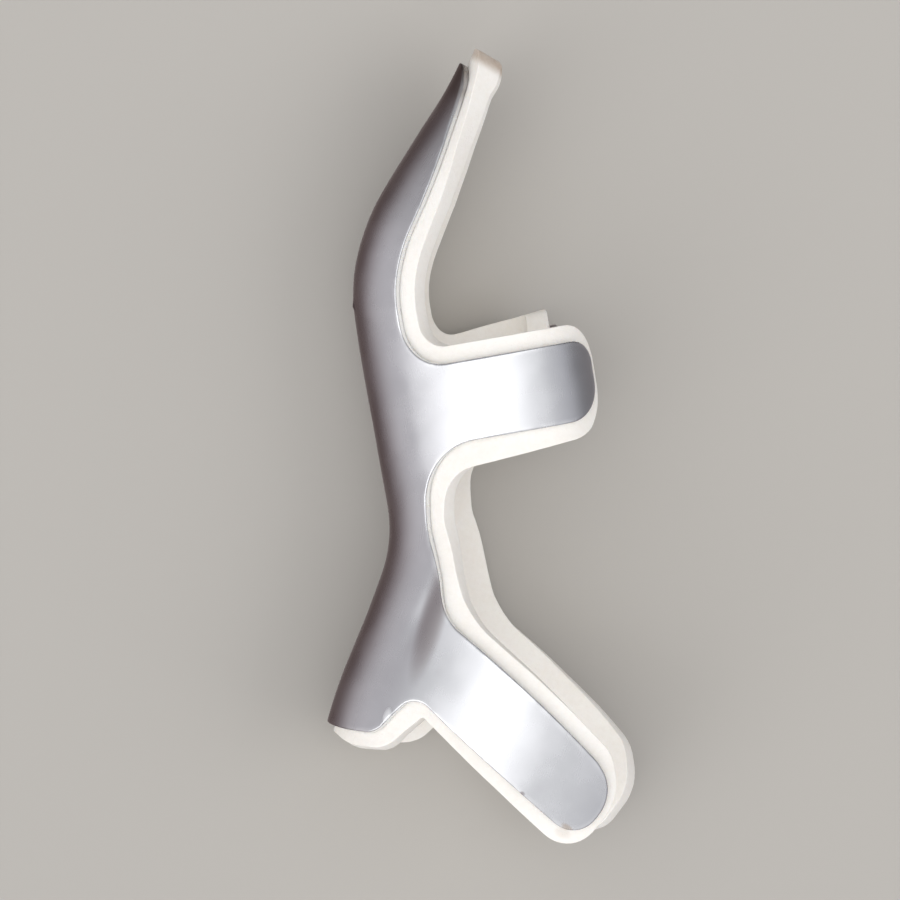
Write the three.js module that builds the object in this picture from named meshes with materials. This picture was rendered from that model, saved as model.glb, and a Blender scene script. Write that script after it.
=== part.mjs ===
// A finger splint: one sheet of soft aluminium with two pairs of tabs, lined with foam and
// bent into a trough. Lengths are in millimetres and angles in degrees.
//
// The sheet is drawn flat first. "along" runs down its spine from the tip to the tongue, and
// "across" runs from the spine to either edge, negative on the near side. The flat outline
// is then bent: the spine gets its gentle curves, and each section across it is a trough
// whose tabs curl over its open side.
//
// Upright, +Z points to the tip, +X to the trough's open side and +Y to the far side.
// The finished splint lies on its far side, with +Y to the tip and +Z up.

import * as THREE from "three";
import { ConvexHull } from "three/addons/math/ConvexHull.js";

const { degToRad, lerp, smoothstep } = THREE.MathUtils;

// Layers
const sheetThickness = 1;
const foamThickness = 2.5;
const glueGap = 0.3;

// How far the foam stands out past the metal
const edgeOverhang = 2.1;
const upperHeelOverhang = 1.8;
const upperHeelRootOverhang = 3.8;
const hipOverhang = 1.6;
const lowerTopOverhang = 2.2;
const lowerTabEndOverhang = 1.1;
const tipOverhang = 2.8;
const tipSideOverhang = 1.4;
const tongueOverhang = 1.7;

// Flat sheet, measured along its spine and from the spine to one edge
const splintLength = 88;
const tipHalfWidth = 6.6;
const troughHalfWidth = 11.9;
const crookHalfWidth = 12.5;
const waistHalfWidth = 12.6;
const hipHalfWidth = 18.5;
const notchHalfWidth = 18.2;
const tongueHalfWidth = 14.9;
const tongueBulge = 2.2;

// Tabs, each on a straight centre line that leaves the spine
const upperTabReach = 37;
const upperTabWidth = 9.8;
const upperTabSlant = 0;
const lowerTabReach = 47.9;
const lowerTabWidth = 8.4;
const lowerTabSlant = 20.4;

// Places along the spine, as shares of its length
const shoulderPlace = 0.21;
const upperTabPlace = 0.5455;
const waistPlace = 0.706;
const lowerTabPlace = 0.775;

// Corner radii of the flat outline
const tipRadius = 2.2;
const shoulderRadius = 30;
const crookRadius = 5.5;
const upperTabEndRadius = 3;
const upperTabHeelRadius = 4.5;
const waistRadius = 8;
const waistFootRadius = 5;
const hipRadius = 6;
const foamHipRadius = 14;
const lowerTabEndRadius = 3.8;
const notchRadius = 2.5;
const tongueRadius = 3;
const smallestFoamRadius = 0.4;

// Section across the splint: a round trough, a flatter side and a tab that closes over.
// A turn is the angle that the section has turned through where a stretch ends.
const upperTroughRadius = 12;
const upperTroughTurn = 60;
const upperSideRadius = 24;
const upperNearTurn = 100;
const upperNearWrapRadius = 10;
const upperFarTurn = 88;
const upperFarWrapRadius = 7.5;
const lowerTroughRadius = 13;
const lowerTroughTurn = 72;
const lowerSideRadius = 45;
const lowerWrapTurn = 104;
const lowerWrapRadius = 40;

// The sheet is bent a little off its middle line, more so towards the tongue
const bendDrift = 1.4;
const driftStart = 0.45;
const driftEnd = 0.8;

// Places between which the upper section changes into the lower one
const formChangeStart = 0.6;
const formChangeEnd = 0.8;

// Side view of the spine. "heading" is how far the spine leans from the upright line,
// and the leans are the tilts of the sections on either side.
const bends = [
  { place: 0, heading: 37, nearLean: 37, farLean: 37 },
  { place: 0.22, heading: 30, nearLean: 30, farLean: 28 },
  { place: 0.32, heading: 12, nearLean: 12, farLean: 8 },
  { place: 0.41, heading: -9, nearLean: -10, farLean: -16 },
  { place: 0.67, heading: -11, nearLean: -10, farLean: -14 },
  { place: 0.77, heading: 19, nearLean: 14, farLean: 14 },
  { place: 0.9, heading: 23, nearLean: 22, farLean: 22 },
  { place: 1, heading: 15, nearLean: 22, farLean: 22 },
];

// Weight of each material in grams per cubic millimetre, for the way the splint settles
const aluminiumDensity = 0.0027;
const foamDensity = 0.0001;

// Facets
const acrossFacets = 13;
const cornerFacets = 4;
const tabFacets = 8;
const edgeFacets = 3;
const upperRootFacets = 6;
const lowerRootFacets = 6;

// The line of one edge of a tab: where it lies along the spine at a distance across
function tabEdgeAlong(place, slant, halfWidth, across) {
  const angle = degToRad(slant);
  return place * splintLength + Math.tan(angle) * across + halfWidth / Math.cos(angle);
}

function tabEnd(place, slant, reach, halfWidth) {
  const angle = degToRad(slant);
  return new THREE.Vector2(
    reach * Math.cos(angle) - halfWidth * Math.sin(angle),
    place * splintLength + reach * Math.sin(angle) + halfWidth * Math.cos(angle),
  );
}

// Corners of half the flat sheet, from the middle of the tip round to the middle of the
// tongue. Each has its fillet and the overhang of the foam along the edge that follows it,
// with a second overhang where that edge ends if the foam widens along it.
function sheetCorners() {
  const upperHalf = upperTabWidth / 2;
  const lowerHalf = lowerTabWidth / 2;
  const upperAlong = (half, across) => tabEdgeAlong(upperTabPlace, upperTabSlant, half, across);
  const lowerAlong = (half, across) => tabEdgeAlong(lowerTabPlace, lowerTabSlant, half, across);
  const upperEnd = (half) => tabEnd(upperTabPlace, upperTabSlant, upperTabReach, half);
  const lowerEnd = (half) => tabEnd(lowerTabPlace, lowerTabSlant, lowerTabReach, half);
  const corner = (across, along, radius, lining = {}) => ({
    point: new THREE.Vector2(across, along),
    radius,
    overhang: edgeOverhang,
    ...lining,
  });
  const upperHeelLining = { overhang: upperHeelOverhang, endOverhang: upperHeelRootOverhang };
  const hipLining = {
    overhang: hipOverhang,
    endOverhang: lowerTopOverhang,
    foamRadius: foamHipRadius,
  };
  const waistTop = upperAlong(upperHalf, waistHalfWidth);
  const hipAlong = lowerAlong(-lowerHalf, hipHalfWidth);
  const tongueEnd = splintLength - tongueBulge;
  return {
    tipMiddle: corner(0, 0, 0, { overhang: tipOverhang }),
    tip: corner(tipHalfWidth, 0, tipRadius, { overhang: tipSideOverhang }),
    shoulder: corner(troughHalfWidth, shoulderPlace * splintLength, shoulderRadius),
    crook: corner(crookHalfWidth, upperAlong(-upperHalf, crookHalfWidth), crookRadius),
    upperTop: corner(...upperEnd(-upperHalf), upperTabEndRadius),
    upperHeel: corner(...upperEnd(upperHalf), upperTabHeelRadius, upperHeelLining),
    waist: corner(waistHalfWidth, waistTop, waistRadius),
    waistFoot: corner(waistHalfWidth, waistPlace * splintLength, waistFootRadius, {
      endOverhang: hipOverhang,
    }),
    hip: corner(hipHalfWidth, hipAlong, hipRadius, hipLining),
    lowerTop: corner(...lowerEnd(-lowerHalf), lowerTabEndRadius, {
      overhang: lowerTabEndOverhang,
    }),
    lowerHeel: corner(...lowerEnd(lowerHalf), lowerTabEndRadius),
    notch: corner(notchHalfWidth, lowerAlong(lowerHalf, notchHalfWidth), notchRadius),
    tongue: corner(tongueHalfWidth, tongueEnd, tongueRadius, { overhang: tongueOverhang }),
    tongueMiddle: corner(0, splintLength + tongueBulge, 0),
  };
}

function cross(a, b) {
  return a.x * b.y - a.y * b.x;
}

function direction(from, to) {
  return to.clone().sub(from).normalize();
}

// Where two lines meet, each given by a point and a direction
function meet(pointA, directionA, pointB, directionB) {
  const reach = cross(pointB.clone().sub(pointA), directionB) / cross(directionA, directionB);
  return directionA.clone().multiplyScalar(reach).add(pointA);
}

// The foam's corners: every edge of the sheet moved out by its overhangs
function foamCorners(corners) {
  const spineWay = new THREE.Vector2(0, 1);
  const names = Object.keys(corners);
  const list = Object.values(corners);
  const edges = list.slice(0, -1).map((corner, k) => {
    const run = direction(corner.point, list[k + 1].point);
    const outward = new THREE.Vector2(run.y, -run.x);
    const endOverhang = corner.endOverhang ?? corner.overhang;
    const start = corner.point.clone().addScaledVector(outward, corner.overhang);
    const end = list[k + 1].point.clone().addScaledVector(outward, endOverhang);
    return { run: direction(start, end), start };
  });
  const moved = list.map((corner, k) => {
    const before = edges[k - 1];
    const after = edges[k];
    if (!before) {
      return { ...corner, point: after.start };
    }
    if (!after) {
      return { ...corner, point: meet(before.start, before.run, new THREE.Vector2(), spineWay) };
    }
    const turn = Math.sign(cross(before.run, after.run));
    const overhang = Math.min(corner.overhang, list[k - 1].overhang);
    return {
      ...corner,
      point: meet(before.start, before.run, after.start, after.run),
      radius: corner.foamRadius ?? Math.max(corner.radius + turn * overhang, smallestFoamRadius),
    };
  });
  return Object.fromEntries(names.map((name, k) => [name, moved[k]]));
}

// The fillet at each corner, as points from its first to its last, kept within its edges
function fillets(corners) {
  const names = Object.keys(corners);
  const list = Object.values(corners);
  const runs = list.slice(0, -1).map((corner, k) => direction(corner.point, list[k + 1].point));
  const lengths = runs.map((run, k) => list[k].point.distanceTo(list[k + 1].point));
  const turns = list.map((corner, k) => {
    const inside = k > 0 && k < runs.length;
    return inside ? Math.atan2(cross(runs[k - 1], runs[k]), runs[k - 1].dot(runs[k])) : 0;
  });
  const tangents = list.map((corner, k) => corner.radius * Math.tan(Math.abs(turns[k]) / 2));
  const room = lengths.map((length, k) => Math.min(1, length / (tangents[k] + tangents[k + 1])));
  const arcs = {};
  for (let k = 1; k < runs.length; k += 1) {
    const share = Math.min(room[k - 1], room[k]);
    const tangent = tangents[k] * share;
    const side = Math.sign(turns[k]);
    const start = list[k].point.clone().addScaledVector(runs[k - 1], -tangent);
    const inward = new THREE.Vector2(-runs[k - 1].y, runs[k - 1].x).multiplyScalar(side);
    const centre = start.clone().addScaledVector(inward, list[k].radius * share);
    arcs[names[k]] = Array.from({ length: cornerFacets + 1 }, (unused, step) =>
      start.clone().rotateAround(centre, (turns[k] * step) / cornerFacets),
    );
  }
  return arcs;
}

// The points between two fillets, without the ends
function between(from, to, facets) {
  const start = from.at(-1);
  const end = to[0];
  return Array.from({ length: facets - 1 }, (unused, step) =>
    start.clone().lerp(end, (step + 1) / facets),
  );
}

function line(start, end, facets) {
  return Array.from({ length: facets + 1 }, (unused, step) =>
    start.clone().lerp(end, step / facets),
  );
}

// One edge of a tab, from its root on the trough out to its end
function tabEdge(rootArc, endArc) {
  return [...rootArc, ...between(rootArc, endArc, tabFacets), ...endArc];
}

// A flat sheet of quads over a whole outline. The trough is a ladder of rows from edge to
// edge, and each tab is a ladder of lines between its two edges.
function flatSheet(corners) {
  const arcs = fillets(corners);
  const back = (points) => points.toReversed();
  const upperRoot = line(arcs.crook[0], arcs.waist.at(-1), upperRootFacets);
  const lowerRoot = line(arcs.hip[0], arcs.notch.at(-1), lowerRootFacets);
  const level = (points) => points.map((edge) => ({ edge, middle: edge.y }));
  const evenly = (arc, start, end) =>
    arc.map((edge, k) => ({ edge, middle: lerp(start, end, k / cornerFacets) }));
  const tongueTop = arcs.tongue[0].y;
  const tongueBottom = (arcs.tongue.at(-1).y + corners.tongueMiddle.point.y) / 2;
  const rim = [
    ...evenly(arcs.tip, arcs.tip[0].y, arcs.tip.at(-1).y),
    ...level(between(arcs.tip, arcs.shoulder, edgeFacets)),
    ...level(arcs.shoulder),
    ...level(between(arcs.shoulder, arcs.crook, edgeFacets)),
    ...level(upperRoot),
    ...level(arcs.waistFoot),
    ...level(between(arcs.waistFoot, arcs.hip, edgeFacets)),
    ...level(lowerRoot),
    ...level(between(arcs.notch, arcs.tongue, edgeFacets)),
    ...evenly(arcs.tongue, tongueTop, tongueBottom),
  ];
  const rows = rim.map(({ edge, middle }) =>
    Array.from({ length: acrossFacets + 1 }, (unused, step) => {
      const share = (2 * step) / acrossFacets - 1;
      return new THREE.Vector2(edge.x * share, lerp(middle, edge.y, share ** 2));
    }),
  );
  const ladders = [rows];
  const tabs = [
    {
      root: upperRoot,
      top: tabEdge(arcs.crook, arcs.upperTop),
      heel: tabEdge(back(arcs.waist), back(arcs.upperHeel)),
    },
    {
      root: lowerRoot,
      top: tabEdge(arcs.hip, arcs.lowerTop),
      heel: tabEdge(back(arcs.notch), back(arcs.lowerHeel)),
    },
  ];
  for (const { root, top, heel } of tabs) {
    const farSide = top.map((point, k) => line(heel[k], point, root.length - 1));
    const nearSide = farSide.map((points) => back(points).map(({ x, y }) => new THREE.Vector2(-x, y)));
    ladders.push(farSide, nearSide);
  }
  return joinLadders(ladders);
}

// Ladders joined to one flat mesh with shared points
function joinLadders(ladders) {
  const points = [];
  const numbers = new Map();
  const triangles = [];
  const numberOf = (point) => {
    const key = `${point.x.toFixed(4)} ${point.y.toFixed(4)}`;
    if (!numbers.has(key)) {
      numbers.set(key, points.length);
      points.push(point);
    }
    return numbers.get(key);
  };
  for (const ladder of ladders) {
    const grid = ladder.map((rung) => rung.map(numberOf));
    for (let k = 1; k < grid.length; k += 1) {
      for (let j = 1; j < grid[k].length; j += 1) {
        const [a, b, c, d] = [grid[k - 1][j - 1], grid[k - 1][j], grid[k][j], grid[k][j - 1]];
        triangles.push([a, b, c], [a, c, d]);
      }
    }
  }
  return { points, triangles: triangles.filter((corners) => new Set(corners).size === 3) };
}

// The table row at a place along the spine, worked out between the rows on either side
function bendAt(place, column) {
  const last = bends.length - 1;
  const next = Math.min(Math.max(bends.findIndex((bend) => bend.place > place), 1), last);
  const after = place >= 1 ? last : next;
  const [from, to] = [bends[after - 1], bends[after]];
  const share = THREE.MathUtils.clamp((place - from.place) / (to.place - from.place), 0, 1);
  return degToRad(lerp(from[column], to[column], share));
}

// The spine in the side view: an arc between each two rows of the table
function spineAt(along) {
  const spot = new THREE.Vector2();
  let start = 0;
  let heading = degToRad(bends[0].heading);
  const advance = (length, turn) => {
    const middle = heading + turn / 2;
    const chord = turn === 0 ? length : (length * Math.sin(turn / 2)) / (turn / 2);
    spot.x -= chord * Math.sin(middle);
    spot.y -= chord * Math.cos(middle);
    heading += turn;
  };
  if (along < 0) {
    advance(along, 0);
    return spot;
  }
  for (const { place, heading: nextHeading } of bends.slice(1)) {
    const end = place * splintLength;
    const length = Math.min(along, end) - start;
    advance(length, ((degToRad(nextHeading) - heading) * length) / (end - start));
    if (along <= end) {
      return spot;
    }
    start = end;
  }
  advance(along - splintLength, 0);
  return spot;
}

// The section's stretches at a place along the spine, from the spine outwards
function stretchesAt(place, isFar) {
  const change = smoothstep(place, formChangeStart, formChangeEnd);
  const upperTurn = isFar ? upperFarTurn : upperNearTurn;
  const upperWrap = isFar ? upperFarWrapRadius : upperNearWrapRadius;
  return [
    {
      radius: lerp(upperTroughRadius, lowerTroughRadius, change),
      turn: degToRad(lerp(upperTroughTurn, lowerTroughTurn, change)),
    },
    {
      radius: lerp(upperSideRadius, lowerSideRadius, change),
      turn: degToRad(lerp(upperTurn, lowerWrapTurn, change)),
    },
    { radius: lerp(upperWrap, lowerWrapRadius, change), turn: Infinity },
  ];
}

// A point of the bent splint, from its place on the flat sheet and its depth below the
// metal's outer face
function bentPoint(along, across, depth) {
  const place = along / splintLength;
  const drifted = across + bendDrift * smoothstep(place, driftStart, driftEnd);
  const isFar = drifted > 0;
  let left = Math.abs(drifted);
  let angle = 0;
  let height = 0;
  let side = 0;
  for (const { radius, turn } of stretchesAt(place, isFar)) {
    const end = Math.min(angle + left / radius, turn);
    height += radius * (Math.cos(angle) - Math.cos(end));
    side += radius * (Math.sin(end) - Math.sin(angle));
    left -= radius * (end - angle);
    angle = end;
  }
  height += depth * Math.cos(angle);
  side -= depth * Math.sin(angle);
  const spine = spineAt(along);
  const lean = bendAt(place, isFar ? "farLean" : "nearLean");
  return new THREE.Vector3(
    spine.x + height * Math.cos(lean),
    isFar ? side : -side,
    spine.y - height * Math.sin(lean),
  );
}

// A closed layer of the splint between two depths
function bentLayer(sheet, outerDepth, innerDepth) {
  const count = sheet.points.length;
  const places = [outerDepth, innerDepth].flatMap((depth) =>
    sheet.points.map((point) => bentPoint(point.y, point.x, depth)),
  );
  const faces = [];
  const edges = new Set();
  for (const [a, b, c] of sheet.triangles) {
    faces.push(a, b, c, c + count, b + count, a + count);
    edges.add(`${a} ${b}`).add(`${b} ${c}`).add(`${c} ${a}`);
  }
  for (const edge of edges) {
    const [a, b] = edge.split(" ").map(Number);
    if (!edges.has(`${b} ${a}`)) {
      faces.push(b, a, a + count, b, a + count, b + count);
    }
  }
  const geometry = new THREE.BufferGeometry().setFromPoints(places);
  geometry.setIndex(faces);
  geometry.computeVertexNormals();
  return geometry;
}

function makeShell() {
  const geometry = bentLayer(flatSheet(sheetCorners()), 0, sheetThickness);
  const finish = { color: 0x9b9ea3, metalness: 0.95, roughness: 0.38 };
  const shell = new THREE.Mesh(geometry, new THREE.MeshStandardMaterial(finish));
  shell.name = "aluminium_shell";
  return shell;
}

function makeFoam() {
  const outerDepth = sheetThickness + glueGap;
  const sheet = flatSheet(foamCorners(sheetCorners()));
  const geometry = bentLayer(sheet, outerDepth, outerDepth + foamThickness);
  const finish = { color: 0xefe8de, metalness: 0, roughness: 0.95 };
  const foam = new THREE.Mesh(geometry, new THREE.MeshStandardMaterial(finish));
  foam.name = "foam_pad";
  return foam;
}

function cornersOf(mesh) {
  const places = mesh.geometry.getAttribute("position");
  return Array.from({ length: places.count }, (unused, k) =>
    new THREE.Vector3().fromBufferAttribute(places, k),
  );
}

// Volume and first moment of a closed mesh, times its density
function weigh(mesh, density) {
  const corners = cornersOf(mesh);
  const faces = mesh.geometry.getIndex().array;
  const moment = new THREE.Vector3();
  let weight = 0;
  for (let k = 0; k < faces.length; k += 3) {
    const [a, b, c] = [corners[faces[k]], corners[faces[k + 1]], corners[faces[k + 2]]];
    const part = (density * a.dot(b.clone().cross(c))) / 6;
    weight += part;
    moment.addScaledVector(a.clone().add(b).add(c), part / 4);
  }
  return { weight, moment };
}

// The turn that brings the splint to rest: of the flat faces of its hull that it can stand
// on, the one nearest to its far side goes down
function restingTurn(shell, foam) {
  const metal = weigh(shell, aluminiumDensity);
  const lining = weigh(foam, foamDensity);
  const weight = metal.weight + lining.weight;
  const middle = metal.moment.clone().add(lining.moment).divideScalar(weight);
  const hull = new ConvexHull().setFromPoints([...cornersOf(shell), ...cornersOf(foam)]);
  const farSide = new THREE.Vector3(0, 1, 0);
  const seats = hull.faces.filter(({ normal, constant, edge }) => {
    const reach = constant - normal.dot(middle);
    const foot = middle.clone().addScaledVector(normal, reach);
    const [a, b, c] = [edge.tail().point, edge.head().point, edge.next.head().point];
    return new THREE.Triangle(a, b, c).containsPoint(foot);
  });
  const seat = seats.reduce((best, face) =>
    face.normal.dot(farSide) > best.normal.dot(farSide) ? face : best,
  );
  const down = new THREE.Vector3(0, 0, -1);
  const layDown = new THREE.Quaternion().setFromEuler(new THREE.Euler(-Math.PI / 2, 0, 0));
  const laidNormal = seat.normal.clone().applyQuaternion(layDown);
  return new THREE.Quaternion().setFromUnitVectors(laidNormal, down).multiply(layDown);
}

const aluminiumShell = makeShell();
const foamPad = makeFoam();

const splint = new THREE.Group();
splint.add(aluminiumShell, foamPad);
splint.quaternion.copy(restingTurn(aluminiumShell, foamPad));
splint.updateMatrixWorld(true);

const box = new THREE.Box3().setFromObject(splint, true);
const centre = box.getCenter(new THREE.Vector3());
splint.position.set(-centre.x, -centre.y, -box.min.z);

const group = new THREE.Group();
group.add(splint);

export default group;
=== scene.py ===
# A foam-lined aluminium finger splint, lying on its side on a pale studio floor.
# Sizes are in millimetres until a finished mesh is scaled to metres.
import math

import bmesh
import bpy
import numpy as np
from mathutils import Matrix, Vector, noise


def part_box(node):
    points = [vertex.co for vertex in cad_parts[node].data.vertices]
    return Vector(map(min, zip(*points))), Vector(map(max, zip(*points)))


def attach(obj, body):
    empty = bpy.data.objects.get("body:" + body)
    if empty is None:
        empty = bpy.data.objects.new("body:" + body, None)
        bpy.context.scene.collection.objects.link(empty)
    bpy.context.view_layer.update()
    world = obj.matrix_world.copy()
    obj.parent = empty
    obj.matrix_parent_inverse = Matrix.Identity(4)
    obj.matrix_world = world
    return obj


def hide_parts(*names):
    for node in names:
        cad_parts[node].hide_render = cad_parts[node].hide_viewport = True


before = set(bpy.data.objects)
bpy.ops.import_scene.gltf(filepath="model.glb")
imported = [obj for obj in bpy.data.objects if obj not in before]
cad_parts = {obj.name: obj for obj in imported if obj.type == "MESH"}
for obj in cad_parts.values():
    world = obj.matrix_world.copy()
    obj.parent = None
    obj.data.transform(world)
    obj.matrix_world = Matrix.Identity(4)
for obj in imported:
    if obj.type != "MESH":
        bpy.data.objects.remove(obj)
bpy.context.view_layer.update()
mm = 0.001

# The blank: where each corner of half the flat sheet lies, from the spine and down the spine
blank = {
    "tipStart": 0.5, "length": 88, "tongueBulge": 2.2,
    "tipHalf": 5.2, "troughHalf": 11.9, "crookHalf": 12.5, "waistHalf": 12.6,
    "hipHalf": 18.5, "notchHalf": 18.2, "tongueHalf": 14.9,
    "shoulderPlace": 0.17, "waistPlace": 0.706,
    "upperTab": {"place": 0.5455, "slant": 0, "reach": 37, "width": 9.8},
    "lowerTab": {"place": 0.775, "slant": 20.4, "reach": 47.9, "width": 8.4, "flare": 0.8},
}

# How the blank is bent. A stretch of the section is a radius and the turn where it ends.
former = {
    "upper": {"trough": (12, 60), "side": (24, 100), "wrap": 10},
    "upperFar": {"trough": (12, 60), "side": (24, 88), "wrap": 7.5},
    "lower": {"trough": (13, 72), "side": (45, 104), "wrap": 40},
    "change": (0.6, 0.8),
    "drift": 1.4, "driftOver": (0.45, 0.8),
    "ripples": [(9, 0.07), (3.2, 0.012)],  # sizes and depths of the sheet's small unevenness
    "dents": {  # middle across and along, half widths, turn, and how far inward
        "bruise": ((-15.2, 70.3), (1.5, 6), 6, 0.3),
        "nick": ((-2, 34), (0.55, 0.6), 0, -0.36),
        "troughDip": ((-8, 52), (3.5, 6), 0, 0.05),
        "scuff": ((-15.8, 83.2), (0.5, 1), 35, -0.1),
        "tabDip": ((-30, 77), (4.5, 3), 20, 0.05),
    },
}

# The spine in the side view: place, heading, lean of the near side, lean of the far side
bends = [
    (0, 24, 30, 30), (0.09, 34.1, 34, 34), (0.22, 30, 30, 28), (0.32, 12, 12, 8), (0.41, -9, -10, -16),
    (0.67, -11, -10, -14), (0.77, 19, 14, 14), (0.9, 23, 22, 22), (1, 15, 22, 22),
]

# How it lies: the upright splint is laid on its far side and tips over about a line on the floor
lying = {"tilt": 17.91, "tiltLine": -96.9}


def smoothStep(value, low, high):
    share = min(max((value - low) / (high - low), 0), 1)
    return share * share * (3 - 2 * share)


def mix(low, high, share):
    return low + (high - low) * share


def bendAt(place, column):
    for before, after in zip(bends, bends[1:]):
        if place < after[0] or after is bends[-1]:
            share = min(max((place - before[0]) / (after[0] - before[0]), 0), 1)
            return math.radians(mix(before[column], after[column], share))


def spineAt(along):  # the spine's place in the side view, arc by arc
    x = z = start = 0
    heading = math.radians(bends[0][1])
    if along < 0:
        return -along * math.sin(heading), -along * math.cos(heading)
    for row in bends[1:]:
        end = row[0] * blank["length"]
        length = min(along, end) - start
        turn = (math.radians(row[1]) - heading) * length / (end - start)
        chord = length * math.sin(turn / 2) / (turn / 2) if abs(turn) > 1e-9 else length
        x -= chord * math.sin(heading + turn / 2)
        z -= chord * math.cos(heading + turn / 2)
        heading += turn
        start = end
        if along <= end:
            return x, z
    past = along - blank["length"]
    return x - past * math.sin(heading), z - past * math.cos(heading)


def unevennessAt(across, along):
    inward = sum(depth * noise.noise(Vector((across, along, 0)) / size) for size, depth in former["ripples"])
    for middle, (halfAcross, halfAlong), turn, depth in former["dents"].values():
        away = Matrix.Rotation(math.radians(turn), 2) @ (Vector((across, along)) - Vector(middle))
        reach = (away.x / halfAcross) ** 2 + (away.y / halfAlong) ** 2
        inward += depth * math.exp(-2 * reach)
    return inward


def bentPoint(across, along, depth):  # a point of the blank, bent, with the splint upright
    place = along / blank["length"]
    drifted = across + former["drift"] * smoothStep(place, *former["driftOver"])
    isFar = drifted > 0
    upper = former["upperFar" if isFar else "upper"]
    lower = former["lower"]
    change = smoothStep(place, *former["change"])
    stretches = [[mix(a, b, change) for a, b in zip(upper[part], lower[part])]
                 for part in ("trough", "side")]
    stretches.append([mix(upper["wrap"], lower["wrap"], change), 360])  # as far as the tab goes
    left = abs(drifted)
    angle = height = side = 0
    for radius, turn in stretches:
        end = min(angle + left / radius, math.radians(turn))
        height += radius * (math.cos(angle) - math.cos(end))
        side += radius * (math.sin(end) - math.sin(angle))
        left -= radius * (end - angle)
        angle = end
    inward = depth + unevennessAt(across, along)
    height += inward * math.cos(angle)
    side -= inward * math.sin(angle)
    x, z = spineAt(along)
    lean = bendAt(place, 3 if isFar else 2)
    return Vector((x + height * math.cos(lean), side if isFar else -side, z - height * math.sin(lean)))


# At each corner of half the outline: its fillet, and how far the foam stands out at the start and
# the end of the edge after it. Where the foam's own fillet doesn't follow from these, it is given.
cornerLook = {
    "tipMiddle": {"radius": 0, "overhang": (2.5, 2.5)},
    "tipSide": {"radius": 4.2, "overhang": (1.4, 1.4), "foamRadius": 3.2},
    "shoulder": {"radius": 30, "overhang": (2.1, 2.1)},
    "crook": {"radius": 5.5, "overhang": (2.1, 2.1)},
    "upperEndAbove": {"radius": 3, "overhang": (2.1, 2.1)},
    "upperEndBelow": {"radius": 4.5, "overhang": (1.8, 3.8)},
    "waistAbove": {"radius": 8, "overhang": (2.1, 2.1)},
    "waistBelow": {"radius": 5, "overhang": (2.1, 1.6)},
    "hip": {"radius": 6, "overhang": (1.6, 1.5), "foamRadius": 14},
    "lowerEndAbove": {"radius": 4.6, "overhang": (1.1, 1.1)},
    "lowerEndBelow": {"radius": 3.9, "overhang": (2.1, 1.4)},
    "notch": {"radius": 2.5, "overhang": (2.6, 2.1)},
    "tongueSide": {"radius": 3, "overhang": (1.7, 1.7)},
    "tongueMiddle": {"radius": 0},
}


def metalCorners():
    b = blank

    def tabEdge(tab, half, across):
        slant = math.radians(tab["slant"])
        return tab["place"] * b["length"] + math.tan(slant) * across + half / math.cos(slant)

    def tabEnd(tab, half):
        slant = math.radians(tab["slant"])
        return (tab["reach"] * math.cos(slant) - half * math.sin(slant),
                tab["place"] * b["length"] + tab["reach"] * math.sin(slant) + half * math.cos(slant))

    upper, lower = b["upperTab"], b["lowerTab"]
    upperHalf, lowerHalf = upper["width"] / 2, lower["width"] / 2
    points = {
        "tipMiddle": (0, b["tipStart"]),
        "tipSide": (b["tipHalf"], b["tipStart"]),
        "shoulder": (b["troughHalf"], b["shoulderPlace"] * b["length"]),
        "crook": (b["crookHalf"], tabEdge(upper, -upperHalf, b["crookHalf"])),
        "upperEndAbove": tabEnd(upper, -upperHalf),
        "upperEndBelow": tabEnd(upper, upperHalf),
        "waistAbove": (b["waistHalf"], tabEdge(upper, upperHalf, b["waistHalf"])),
        "waistBelow": (b["waistHalf"], b["waistPlace"] * b["length"]),
        "hip": (b["hipHalf"], tabEdge(lower, -lowerHalf, b["hipHalf"])),
        "lowerEndAbove": tabEnd(lower, -lowerHalf - lower["flare"]),
        "lowerEndBelow": tabEnd(lower, lowerHalf),
        "notch": (b["notchHalf"], tabEdge(lower, lowerHalf, b["notchHalf"])),
        "tongueSide": (b["tongueHalf"], b["length"] - b["tongueBulge"]),
        "tongueMiddle": (0, b["length"] + b["tongueBulge"]),
    }
    return [dict(cornerLook[name], point=Vector(point)) for name, point in points.items()]


def cross(a, b):
    return a.x * b.y - a.y * b.x


def meet(pointA, wayA, pointB, wayB):
    return pointA + wayA * (cross(pointB - pointA, wayB) / cross(wayA, wayB))


def foamCorners(corners):  # every edge of the metal moved out by its overhangs
    edges = []
    for corner, after in zip(corners, corners[1:]):
        run = (after["point"] - corner["point"]).normalized()
        outward = Vector((run.y, -run.x))
        startOverhang, endOverhang = corner["overhang"]
        start = corner["point"] + outward * startOverhang
        end = after["point"] + outward * endOverhang
        edges.append((start, (end - start).normalized()))
    moved = []
    for k, corner in enumerate(corners):
        new = dict(corner)
        if k == 0:
            new["point"] = edges[0][0]
        elif k == len(edges):
            new["point"] = meet(*edges[-1], Vector((0, 0)), Vector((0, 1)))
        else:
            (startA, wayA), (startB, wayB) = edges[k - 1], edges[k]
            turn = math.copysign(1, cross(wayA, wayB))
            overhang = min(corner["overhang"][0], corners[k - 1]["overhang"][0])
            followed = max(corner["radius"] + turn * overhang, foamLook["leastRadius"])
            new["point"] = meet(startA, wayA, startB, wayB)
            new["radius"] = corner.get("foamRadius", followed)
        moved.append(new)
    return moved


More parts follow.
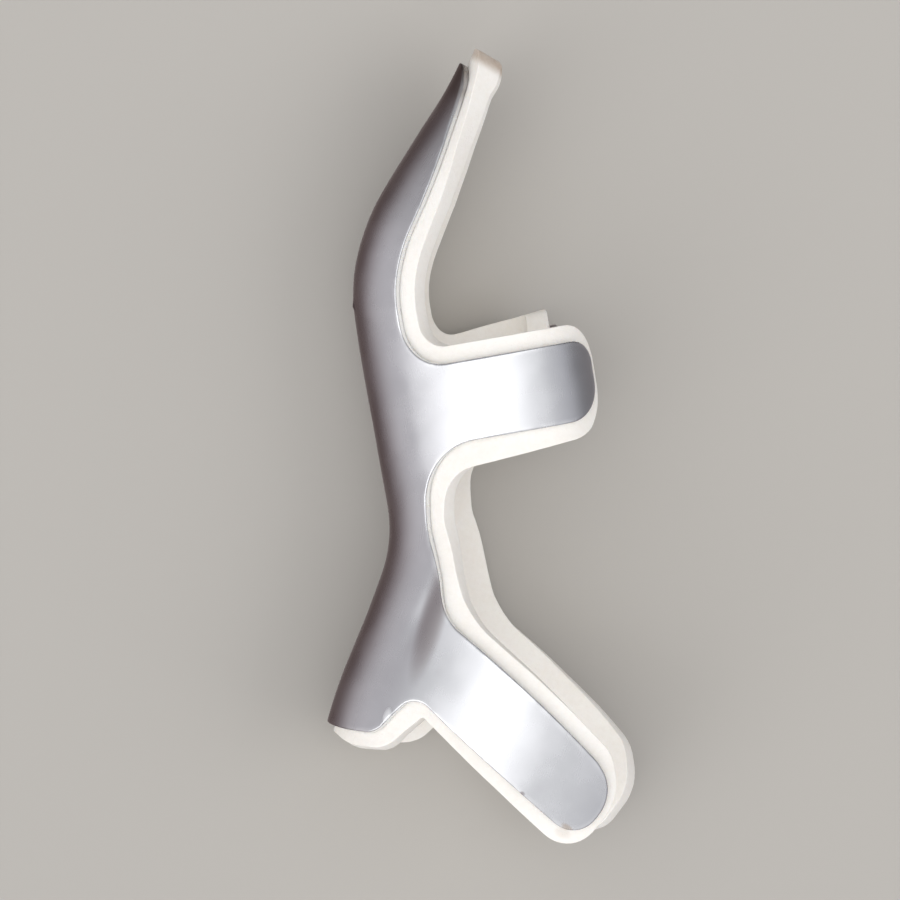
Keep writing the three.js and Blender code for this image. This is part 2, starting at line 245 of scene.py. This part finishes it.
def filletReaches(corners):  # how far each fillet reaches along its edges, kept within them
    ways = [(b["point"] - a["point"]).normalized() for a, b in zip(corners, corners[1:])]
    lengths = [(b["point"] - a["point"]).length for a, b in zip(corners, corners[1:])]
    reaches = [0] * len(corners)
    for k in range(1, len(corners) - 1):
        turn = abs(math.atan2(cross(ways[k - 1], ways[k]), ways[k - 1].dot(ways[k])))
        reaches[k] = corners[k]["radius"] * math.tan(turn / 2)
    room = [min(1, length / (a + b)) for length, a, b in zip(lengths, reaches, reaches[1:])]
    for k in range(1, len(corners) - 1):
        reaches[k] *= 0.999 * min(room[k - 1], room[k])  # a hair less, so that no two fillets touch
    reaches[-1] = 0.98 * (lengths[-1] - reaches[-2])  # the tongue's end is one shallow curve
    return reaches


# A flat sheet cut to an outline: its corners are rounded, and it is given its thickness
def cutSheet(corners, look):
    bm = bmesh.new()
    half = [(c["point"], reach) for c, reach in zip(corners, filletReaches(corners))]
    whole = half + [(Vector((-p.x, p.y)), reach) for p, reach in half[-2:0:-1]]
    marks = [(bm.verts.new((p.x, p.y, 0)), reach) for p, reach in whole]
    bm.faces.new([mark for mark, reach in marks])
    for mark, reach in marks:
        if reach > 0:
            bmesh.ops.bevel(bm, geom=[mark], offset=reach, offset_type="OFFSET", profile=0.5,
                            segments=look["cornerSteps"], affect="VERTICES", material=-1)
    bmesh.ops.recalc_face_normals(bm, faces=bm.faces[:])
    if bm.faces[:][0].normal.z > 0:
        bmesh.ops.reverse_faces(bm, faces=bm.faces[:])
    outline = [v.co.copy() for v in bm.faces[:][0].verts]
    for vert in bm.verts:
        vert.co.z = look["outer"]
    grown = bmesh.ops.extrude_face_region(bm, geom=bm.faces[:])
    innerVerts = [item for item in grown["geom"] if isinstance(item, bmesh.types.BMVert)]
    bmesh.ops.translate(bm, verts=innerVerts, vec=(0, 0, look["inner"] - look["outer"]))
    bmesh.ops.recalc_face_normals(bm, faces=bm.faces[:])
    rim = [e for e in bm.edges if abs(e.verts[0].co.z - e.verts[1].co.z) < 1e-6]
    bmesh.ops.bevel(bm, geom=rim, offset=look["rimRound"], offset_type="OFFSET", profile=0.5,
                    segments=look["rimSteps"], affect="EDGES", material=-1, clamp_overlap=True)
    if look["rimFlat"]:  # a narrow strip beside the rounded rim keeps the sheet's shading flat
        sides = sorted(bm.faces, key=lambda face: face.calc_area())[-2:]
        bmesh.ops.inset_individual(bm, faces=sides, thickness=look["rimFlat"], depth=0)
    return bm, outline


def sliceSheet(bm, cell):  # cuts the sheet into small cells, so that it can be bent
    for axis in (0, 1):
        places = [v.co[axis] for v in bm.verts]
        low, high = min(places), max(places)
        count = int((high - low) / cell[axis])
        normal = Vector((1, 0, 0)) if axis == 0 else Vector((0, 1, 0))
        sliceRange(bm, bm.faces[:], axis, normal, low, high, count)


def sliceRange(bm, faces, axis, normal, low, high, count):  # halves a range until it is cut
    if count < 2 or not faces:
        return
    lowCount = count // 2
    middle = mix(low, high, lowCount / count)
    edges = list({e for f in faces for e in f.edges})
    verts = list({v for f in faces for v in f.verts})
    cut = bmesh.ops.bisect_plane(bm, geom=verts + edges + faces, dist=1e-5,
                                 plane_co=normal * middle, plane_no=normal)
    pieces = [item for item in cut["geom"] if isinstance(item, bmesh.types.BMFace)]
    lowSide = [f for f in pieces if f.calc_center_bounds()[axis] < middle]
    highSide = [f for f in pieces if f.calc_center_bounds()[axis] >= middle]
    sliceRange(bm, lowSide, axis, normal, low, middle, lowCount)
    sliceRange(bm, highSide, axis, normal, middle, high, count - lowCount)


def rimDistances(points, outline):  # how far each point lies from the sheet's cut edge
    starts = np.array([p[:2] for p in outline])
    runs = np.roll(starts, -1, axis=0) - starts
    spots = np.array([p[:2] for p in points])
    offsets = spots[:, None, :] - starts[None, :, :]
    shares = np.clip((offsets * runs).sum(2) / (runs * runs).sum(1), 0, 1)
    gaps = offsets - shares[:, :, None] * runs
    return np.sqrt((gaps * gaps).sum(2)).min(1)


# Bends a sliced sheet, and keeps on it where each point lay when it was flat
def bendSheet(bm, outline, rest):
    flat = bm.verts.layers.float_vector.new("flat")
    rim = bm.verts.layers.float.new("rim")
    verts = bm.verts[:]
    for vert, distance in zip(verts, rimDistances([v.co for v in verts], outline)):
        vert[flat] = vert.co * mm
        vert[rim] = distance
        vert.co = bentPoint(*vert.co)
    bmesh.ops.transform(bm, matrix=rest, verts=verts)
    bmesh.ops.recalc_face_normals(bm, faces=bm.faces[:])
    for face in bm.faces:
        face.smooth = True


def finishPiece(bm, name, material):
    mesh = bpy.data.meshes.new(name)
    bm.to_mesh(mesh)
    bm.free()
    mesh.materials.append(material)
    piece = bpy.data.objects.new(name, mesh)
    bpy.context.scene.collection.objects.link(piece)
    return piece


def layDown():  # upright to lying: the far side goes down and the tip points to +Y
    laid = Matrix.Rotation(math.radians(-90), 4, "X")
    line = math.radians(lying["tiltLine"])
    tip = Matrix.Rotation(math.radians(lying["tilt"]), 4, Vector((math.cos(line), math.sin(line), 0)))
    return tip @ laid


class Sock:  # one output of a shader node, with arithmetic
    def __init__(self, graph, out):
        self.graph = graph
        self.out = out

    def __add__(self, other):
        return self.graph.sums("ADD", self, other)

    def __radd__(self, other):
        return self.graph.sums("ADD", other, self)

    def __sub__(self, other):
        return self.graph.sums("SUBTRACT", self, other)

    def __rsub__(self, other):
        return self.graph.sums("SUBTRACT", other, self)

    def __mul__(self, other):
        return self.graph.sums("MULTIPLY", self, other)

    def __rmul__(self, other):
        return self.graph.sums("MULTIPLY", other, self)

    def __truediv__(self, other):
        return self.graph.sums("DIVIDE", self, other)

    def __rtruediv__(self, other):
        return self.graph.sums("DIVIDE", other, self)

    def ramp(self, low, high):  # 0 below low, 1 above high and smooth between
        return self.graph.add("ShaderNodeMapRange", {"interpolation_type": "SMOOTHSTEP"},
                              {"Value": self, "From Min": low, "From Max": high})


class Graph:  # the node tree of one material, or of the world
    def __init__(self, name, home=None):
        self.home = home or bpy.data.materials.new(name)
        self.home.use_nodes = True
        self.nodes = self.home.node_tree.nodes
        self.links = self.home.node_tree.links
        self.shader = self.nodes["Background" if home else "Principled BSDF"]

    def add(self, kind, settings=None, sockets=None, output=0):
        node = self.nodes.new(kind)
        for key, value in (settings or {}).items():
            if key == "stops":
                self.setStops(node.color_ramp.elements, value)
            else:
                setattr(node, key, value)
        for key, value in (sockets or {}).items():
            self.plug(value, node.inputs[key])
        return Sock(self, node.outputs[output])

    def setStops(self, elements, stops):  # a new ramp has two stops, so the others are added
        for k, (position, tone) in enumerate(stops):
            stop = elements[k] if k < 2 else elements.new(1)
            stop.position = position
            stop.color = tone

    def plug(self, value, socket):
        if isinstance(value, Sock):
            self.links.new(value.out, socket)
        else:
            socket.default_value = value

    def sums(self, operation, *values):
        return self.add("ShaderNodeMath", {"operation": operation}, dict(enumerate(values)))

    def blend(self, share, low, high):  # two colours
        return self.add("ShaderNodeMix", {"data_type": "RGBA"}, {0: share, 6: low, 7: high}, 2)

    def scaled(self, vector, size):
        return self.add("ShaderNodeVectorMath", {"operation": "MULTIPLY"}, {0: vector, 1: size})

    def split(self, vector):  # the three numbers of a vector
        parts = self.add("ShaderNodeSeparateXYZ", None, {0: vector}).out.node
        return [Sock(self, part) for part in parts.outputs]

    def noise(self, vector, scale, detail=2, roughness=0.5):
        return self.add("ShaderNodeTexNoise", None,
                        {"Vector": vector, "Scale": scale, "Detail": detail, "Roughness": roughness})

    def spot(self, across, along, mark):  # 1 in the middle of a mark on the flat sheet, 0 off it
        down = along - mark["at"][1]
        sideways = (across - mark["at"][0] + down * mark.get("lean", 0)) / mark["size"][0]
        lengthways = down / mark["size"][1]
        return (1 - (sideways * sideways + lengthways * lengthways)).ramp(0, 1)


def colour(red, green, blue):
    return (red, green, blue, 1)


# The metal. Sizes of its shape are millimetres, and those of its finish are metres or scales.
metalLook = {
    "outer": 0, "inner": 1, "rimRound": 0.14, "rimFlat": 0.12, "rimSteps": 2, "cornerSteps": 14,
    "cell": (0.5, 0.62),
    "light": colour(0.64, 0.645, 0.66), "dark": colour(0.555, 0.56, 0.575),
    # painted shade: the brown-black colour at the end of the next line darkens the metal toward its tip
    "cutEdge": colour(0.82, 0.83, 0.84), "tipShade": colour(0.20, 0.17, 0.15),
    # the first colour here is painted shade in the crease's dent, and also the colour of a real dark speck
    "shadeAndSpeck": colour(0.26, 0.225, 0.225), "stain": colour(0.46, 0.36, 0.27),
    "roughness": 0.27, "cloudRough": 0.14, "grainRough": 0.04, "lineRough": 0.08, "scuffRough": 0.2,
    "cloudScale": 160, "smudgeScale": 420,
    "grainStretch": (9000, 260, 9000), "lineStretch": (5200, 90, 5200),
    "bumpStrength": 0.03, "bumpDistance": 0.00002,
    "cutDepth": (0.00012, 0.0002), "cutReach": (0.02, 0.1), "wornReach": (0.05, 0.7),
    # where the painted shade at the tip fades out, in metres along the sheet
    "tipShadeAlong": (0.002, 0.0085),
    "marks": {  # middle across and along the flat sheet, half widths and lean
        "scuff": {"at": (-0.0158, 0.0832), "size": (0.0006, 0.0012)},
        "speck": {"at": (-0.035, 0.0855), "size": (0.0004, 0.0003)},
        # painted shade: where the dented crease is darkened in the colour
        "creaseShade": {"at": (-0.01663, 0.0708), "size": (0.0021, 0.0085), "lean": 0.1},
        "stain": {"at": (-0.04156, 0.0875), "size": (0.0010, 0.0006), "lean": 0.6},
    },
}


def makeAluminium():
    look = metalLook
    g = Graph("aluminium")
    flat = g.add("ShaderNodeAttribute", {"attribute_name": "flat"}, None, "Vector")
    rim = g.add("ShaderNodeAttribute", {"attribute_name": "rim"}, None, "Fac")
    across, along, depth = g.split(flat)
    scuff, speck, creaseShade, stain = [g.spot(across, along, mark) for mark in look["marks"].values()]
    cloud = g.noise(flat, look["cloudScale"], 3)
    smudge = g.noise(flat, look["smudgeScale"], 2, 0.4)
    grain = g.noise(g.scaled(flat, look["grainStretch"]), 1, 3, 0.6)
    hairline = g.noise(g.scaled(flat, look["lineStretch"]), 1, 1)
    line = hairline.ramp(0.70, 0.76) * smudge.ramp(0.48, 0.62)
    shade = cloud.ramp(0.3, 0.75) * 0.7 + smudge * 0.2
    worn = (1 - rim.ramp(*look["wornReach"])) * smudge.ramp(0.35, 0.65) * 0.5
    cut = depth.ramp(*look["cutDepth"]) * (1 - rim.ramp(*look["cutReach"]))
    # painted shade: the metal's colour darkens toward the tip, standing in for the dark surroundings it
    # reflects there
    tip = (1 - along.ramp(*look["tipShadeAlong"])) * (0.5 + smudge * 0.6)
    base = g.blend(shade, look["dark"], look["light"])
    base = g.blend(worn, base, look["cutEdge"])
    # painted shade: the crease's dent is darkened in the base colour
    base = g.blend(creaseShade * 0.72, base, look["shadeAndSpeck"])
    # painted shade at the tip
    base = g.blend(tip, base, look["tipShade"])
    base = g.blend(cut * (1 - tip), base, look["cutEdge"])
    base = g.blend(scuff, base, look["cutEdge"])
    # a real dark speck, in the same colour as the painted crease shade
    base = g.blend(speck * smudge.ramp(0.3, 0.5) * 0.75, base, look["shadeAndSpeck"])
    base = g.blend(stain * 0.6, base, look["stain"])
    g.plug(base, g.shader.inputs["Base Color"])
    rough = (look["roughness"] + (cloud - 0.5) * look["cloudRough"] + (grain - 0.5) * look["grainRough"]
             + line * look["lineRough"] + scuff * look["scuffRough"])
    g.plug(rough, g.shader.inputs["Roughness"])
    g.shader.inputs["Metallic"].default_value = 1
    bump = g.add("ShaderNodeBump", None, {"Strength": look["bumpStrength"],
                                          "Distance": look["bumpDistance"], "Height": grain - line * 0.4})
    g.plug(bump, g.shader.inputs["Normal"])
    return g.home


# The foam, in the same units
foamLook = {
    "outer": 1.06, "inner": 3.8, "rimRound": 0.5, "rimFlat": 0, "rimSteps": 4, "cornerSteps": 12,
    "cell": (0.75, 1.0), "leastRadius": 0.4,
    "wobble": 0.05, "wobbleSize": 6, "dimple": 0.03, "dimpleSizes": (1.3, 3.1), "dimpleTop": 0.2,
    "angledCut": {"depth": 1.5, "pastEnd": (-0.5, 3), "across": (5, 13)},
    "tipSwell": {"depth": 0.6, "along": (0.3, 2.6)},
    "light": colour(0.945, 0.918, 0.868), "dark": colour(0.895, 0.86, 0.80),
    "stain": colour(0.44, 0.33, 0.24), "roughness": 0.92, "mottleRough": 0.08,
    "cloudScale": 110, "mottleScale": 1500, "pore": 0.0003,
    "specular": 0.25, "sheen": 0.15, "scatter": 0.12, "scatterRadius": (0.0016, 0.0013, 0.001),
    "bumpStrength": 0.5, "bumpDistance": 0.00006,
    "stainAlong": (-0.0014, -0.0001),
    "tabStain": {"at": (-0.0414, 0.0884), "size": (0.0014, 0.0008)},
}


def makeFoam():
    look = foamLook
    g = Graph("foam")
    place = g.add("ShaderNodeTexCoord", None, None, "Object")
    flat = g.add("ShaderNodeAttribute", {"attribute_name": "flat"}, None, "Vector")
    across, along = g.split(flat)[:2]
    cloud = g.noise(place, look["cloudScale"], 2)
    mottle = g.noise(place, look["mottleScale"], 3, 0.6)
    pores = g.add("ShaderNodeTexVoronoi", {"feature": "SMOOTH_F1"},
                  {"Vector": place, "Scale": 1 / look["pore"], "Smoothness": 0.4}, "Distance")
    pit = 1 - pores.ramp(0.08, 0.45)
    shade = cloud * 0.6 + mottle * 0.5
    tip = (1 - along.ramp(*look["stainAlong"])) * (0.2 + cloud * 0.6 + mottle * 0.5)
    base = g.blend(shade.ramp(0.3, 0.75), look["dark"], look["light"])
    # painted shade: the pores are darkened in the base colour
    base = g.blend(pit * 0.25, base, look["dark"])
    base = g.blend(tip, base, look["stain"])
    base = g.blend(g.spot(across, along, look["tabStain"]) * 0.2, base, look["stain"])
    g.plug(base, g.shader.inputs["Base Color"])
    g.plug(look["roughness"] + mottle * look["mottleRough"], g.shader.inputs["Roughness"])
    g.shader.inputs["Specular IOR Level"].default_value = look["specular"]
    g.shader.inputs["Sheen Weight"].default_value = look["sheen"]
    g.shader.inputs["Subsurface Weight"].default_value = look["scatter"]
    g.shader.inputs["Subsurface Radius"].default_value = look["scatterRadius"]
    height = mottle * 0.6 + cloud * 0.3 - pit * 0.5
    bump = g.add("ShaderNodeBump", None, {"Strength": look["bumpStrength"],
                                          "Distance": look["bumpDistance"], "Height": height})
    g.plug(bump, g.shader.inputs["Normal"])
    return g.home


def makeShell(rest):
    bm, outline = cutSheet(metalCorners(), metalLook)
    sliceSheet(bm, metalLook["cell"])
    bendSheet(bm, outline, rest)
    return finishPiece(bm, "aluminiumShell", makeAluminium())


def makeLining(rest):
    look = foamLook
    cut, swell = look["angledCut"], look["tipSwell"]
    tongueEnd = [blank["length"] + past for past in cut["pastEnd"]]
    bm, outline = cutSheet(foamCorners(metalCorners()), look)
    sliceSheet(bm, look["cell"])
    for vert in bm.verts:  # an angled cut at the tongue, a swollen tip and the knife's wavy cut
        share = (look["inner"] - vert.co.z) / (look["inner"] - look["outer"])  # 1 at the metal
        inMiddle = 1 - smoothStep(abs(vert.co.x), *cut["across"])
        vert.co.y -= cut["depth"] * share * smoothStep(vert.co.y, *tongueEnd) * inMiddle
        vert.co.z += swell["depth"] * (1 - share) * (1 - smoothStep(vert.co.y, *swell["along"]))
        spot = Vector((vert.co.x, vert.co.y, 0)) / look["wobbleSize"]
        vert.co.x += look["wobble"] * noise.noise(spot)
        vert.co.y += look["wobble"] * noise.noise(spot + Vector((7, 3, 5)))  # another part of the noise
    bendSheet(bm, outline, rest)
    bm.normal_update()
    for vert in bm.verts:
        dimple = sum(noise.noise(vert.co / size) for size in look["dimpleSizes"])
        vert.co += vert.normal * look["dimple"] * min(dimple, look["dimpleTop"])
    return finishPiece(bm, "foamLining", makeFoam())


def settle(pieces):  # millimetres to metres, on the place that the frame gives
    low, high = [Vector(corner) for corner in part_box("aluminium_shell")]
    own = [v.co for v in pieces[0].data.vertices]
    centre = (Vector(map(min, zip(*own))) + Vector(map(max, zip(*own)))) / 2
    floor = min(v.co.z for piece in pieces for v in piece.data.vertices)
    middle = (low + high) / 2
    shift = Vector((middle.x, middle.y, 0)) - Vector((centre.x, centre.y, floor)) * mm
    toMetres = Matrix.Translation(shift) @ Matrix.Scale(mm, 4)
    for piece in pieces:
        piece.data.transform(toMetres)
    return toMetres


# The camera looks at the upright splint's side, a little from above and from the right
cameraLook = {"aim": (-1.4265, 0, -48.7315), "yaw": -2, "pitch": 2, "distance": 600, "width": 112.5,
              "sensor": 36, "nearest": 0.01}


def makeCamera(toFloor):
    look = cameraLook
    yaw, pitch = math.radians(look["yaw"]), math.radians(look["pitch"])
    ahead = Vector((math.sin(yaw) * math.cos(pitch), math.cos(yaw) * math.cos(pitch), -math.sin(pitch)))
    right = Vector((math.cos(yaw), -math.sin(yaw), 0))
    up = right.cross(ahead)
    turn = toFloor.to_3x3().normalized()
    data = bpy.data.cameras.new("camera")
    camera = bpy.data.objects.new("camera", data)
    bpy.context.scene.collection.objects.link(camera)
    axes = Matrix([turn @ right, turn @ up, turn @ -ahead]).transposed()
    eye = toFloor @ (Vector(look["aim"]) - ahead * look["distance"])
    camera.matrix_world = Matrix.Translation(eye) @ axes.to_4x4()
    data.sensor_width = look["sensor"]
    data.lens = look["sensor"] * look["distance"] / look["width"]
    data.clip_start = look["nearest"]
    bpy.context.scene.camera = camera
    return camera


# The studio. Directions are degrees right of the camera's line and above it.
studio = {
    "floorColour": colour(0.475, 0.455, 0.42), "floorTone": colour(0.455, 0.435, 0.40),
    "floorRoughness": 0.9, "floorHalf": 1.5, "floorCloud": 6,
    "backdrop": colour(0.50, 0.475, 0.445),
    "walls": [  # how light the studio's walls are, stop by stop round the splint
        (-180, (0.30, 0.26, 0.25)), (-152, (0.12, 0.085, 0.08)), (-132, (0.15, 0.11, 0.11)),
        (-118, (0.34, 0.29, 0.30)), (-104, (0.60, 0.56, 0.58)), (-88, (0.74, 0.71, 0.74)),
        (-62, (0.72, 0.70, 0.73)), (-30, (0.80, 0.80, 0.82)), (0, (0.90, 0.90, 0.92)),
        (14, (1.06, 1.06, 1.08)), (30, (0.84, 0.84, 0.87)), (50, (0.68, 0.68, 0.72)),
        (70, (0.30, 0.295, 0.31)), (96, (0.26, 0.24, 0.25)), (125, (0.62, 0.59, 0.57)),
        (180, (0.30, 0.26, 0.25)),
    ],
    "panel": {"left": (-78, -53), "right": (-3, 13), "top": (-9, 4.3), "bottom": (-50, -32),
              "tilt": 0.35, "tiltFrom": -30, "light": 1.7},
    "ceiling": {"above": (10, 46), "dim": 0.5},
    "lights": {
        "keySoftbox": {"right": -14, "above": 8, "distance": 2.4, "size": (1.7, 1.7), "power": 7.6},
        "fillSoftbox": {"right": 62, "above": -4, "distance": 2.0, "size": (1.8, 1.8), "power": 10},
    },
}


def directionFrom(camera, right, above):
    side, rise = math.radians(right), math.radians(above)
    way = Vector((math.sin(side) * math.cos(rise), math.sin(rise), math.cos(side) * math.cos(rise)))
    return camera.matrix_world.to_3x3() @ way


def makeWalls(camera):  # grey walls that go dark at the sides, and one large soft panel
    world = bpy.data.worlds.new("studio")
    bpy.context.scene.world = world
    g = Graph("studioWalls", world)
    way = g.add("ShaderNodeTexCoord", None, None, "Generated")
    sideways, upwards, towards = [
        g.add("ShaderNodeVectorMath", {"operation": "DOT_PRODUCT"}, {0: way, 1: axis}, "Value")
        for axis in camera.matrix_world.to_3x3().transposed()]
    around = g.sums("ARCTAN2", sideways, towards) * math.degrees(1)
    above = g.sums("ARCSINE", upwards) * math.degrees(1)
    stops = [(degrees / 360 + 0.5, colour(*light)) for degrees, light in studio["walls"]]
    ramp = g.add("ShaderNodeValToRGB", {"stops": stops}, {"Fac": around / 360 + 0.5})
    panel, ceiling = studio["panel"], studio["ceiling"]
    height = above - (around - panel["tiltFrom"]) * panel["tilt"]
    inside = (around.ramp(*panel["left"]) * (1 - (around - above).ramp(*panel["right"]))
              * (1 - height.ramp(*panel["top"])) * above.ramp(*panel["bottom"]))
    walls = g.blend(above.ramp(*ceiling["above"]) * ceiling["dim"], ramp, colour(0, 0, 0))
    lit = g.add("ShaderNodeVectorMath", {"operation": "ADD"}, {0: walls, 1: inside * panel["light"]})
    isSeen = g.add("ShaderNodeLightPath", None, None, "Is Camera Ray")
    g.plug(g.blend(isSeen, lit, studio["backdrop"]), g.shader.inputs["Color"])


def makeStudio(camera):
    scene = bpy.context.scene
    scene.view_settings.view_transform = "Standard"
    makeWalls(camera)
    bm = bmesh.new()
    bmesh.ops.create_grid(bm, x_segments=8, y_segments=8, size=studio["floorHalf"])
    g = Graph("studioFloor")
    place = g.add("ShaderNodeTexCoord", None, None, "Object")
    tone = g.noise(place, studio["floorCloud"], 2)
    g.plug(g.blend(tone, studio["floorColour"], studio["floorTone"]), g.shader.inputs["Base Color"])
    g.shader.inputs["Roughness"].default_value = studio["floorRoughness"]
    floor = finishPiece(bm, "studioFloor", g.home)
    floor.visible_glossy = False
    for name, light in studio["lights"].items():
        way = directionFrom(camera, light["right"], light["above"])
        data = bpy.data.lights.new(name, "AREA")
        data.shape = "RECTANGLE"
        data.size, data.size_y = light["size"]
        data.energy = light["power"]
        lamp = bpy.data.objects.new(name, data)
        lamp.visible_glossy = False
        scene.collection.objects.link(lamp)
        lamp.matrix_world = (Matrix.Translation(way * light["distance"])
                             @ way.to_track_quat("Z", "Y").to_matrix().to_4x4())


print("splint: cutting and bending the sheet")
rest = layDown()
shell = makeShell(rest)
print("splint: cutting and bending the foam")
lining = makeLining(rest)
toFloor = settle([shell, lining]) @ rest

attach(shell, "root")
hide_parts("aluminium_shell")
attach(lining, "root")
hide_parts("foam_pad")

print("splint: camera and studio")
camera = makeCamera(toFloor)
makeStudio(camera)

print("splint: faces", {piece.name: len(piece.data.polygons) for piece in (shell, lining)})
bpy.context.view_layer.update()
